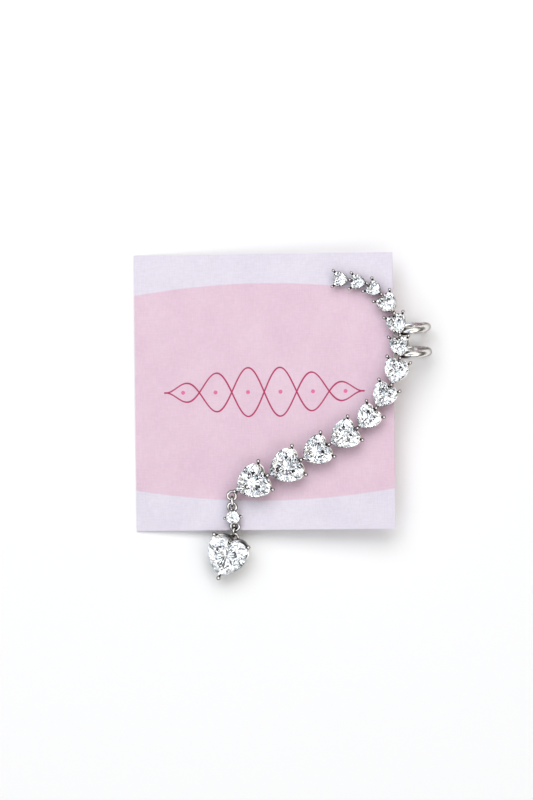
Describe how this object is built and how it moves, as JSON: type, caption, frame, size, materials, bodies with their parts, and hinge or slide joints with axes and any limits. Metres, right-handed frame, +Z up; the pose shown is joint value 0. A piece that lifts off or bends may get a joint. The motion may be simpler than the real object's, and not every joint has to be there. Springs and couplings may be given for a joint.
{
  "type": "ear cuff on display card",
  "caption": "Climbing ear cuff: a curved row of heart-cut stones on two open rings, with a heart drop on links, lying clipped on a plain square display card.",
  "frame": {"origin": "under the middle of the whole, on the table that it lies on", "axes": "+X to the card's right edge, where the rings stand; +Y up the card, away from the drop; +Z up from the table"},
  "size_m": [0.062, 0.0682, 0.0107],
  "materials": {
    "metal": "polished rhodium-plated brass, bright with warm grey shadows",
    "stone": "clear cut cubic zirconia, polished facets",
    "card": "matte printed card, pale pink with lavender bands"
  },
  "bodies": {
    "root": {"cuff_frame": "metal", "upper_link": "metal", "round_setting": "metal", "lower_link": "metal", "drop_setting": "metal", "stone_01": "stone", "stone_02": "stone", "stone_03": "stone", "stone_04": "stone", "stone_05": "stone", "stone_06": "stone", "stone_07": "stone", "stone_08": "stone", "stone_09": "stone", "stone_10": "stone", "stone_11": "stone", "stone_12": "stone", "stone_13": "stone", "round_stone": "stone", "drop_stone": "stone", "display_card": "card"}
  },
  "joints": []
}
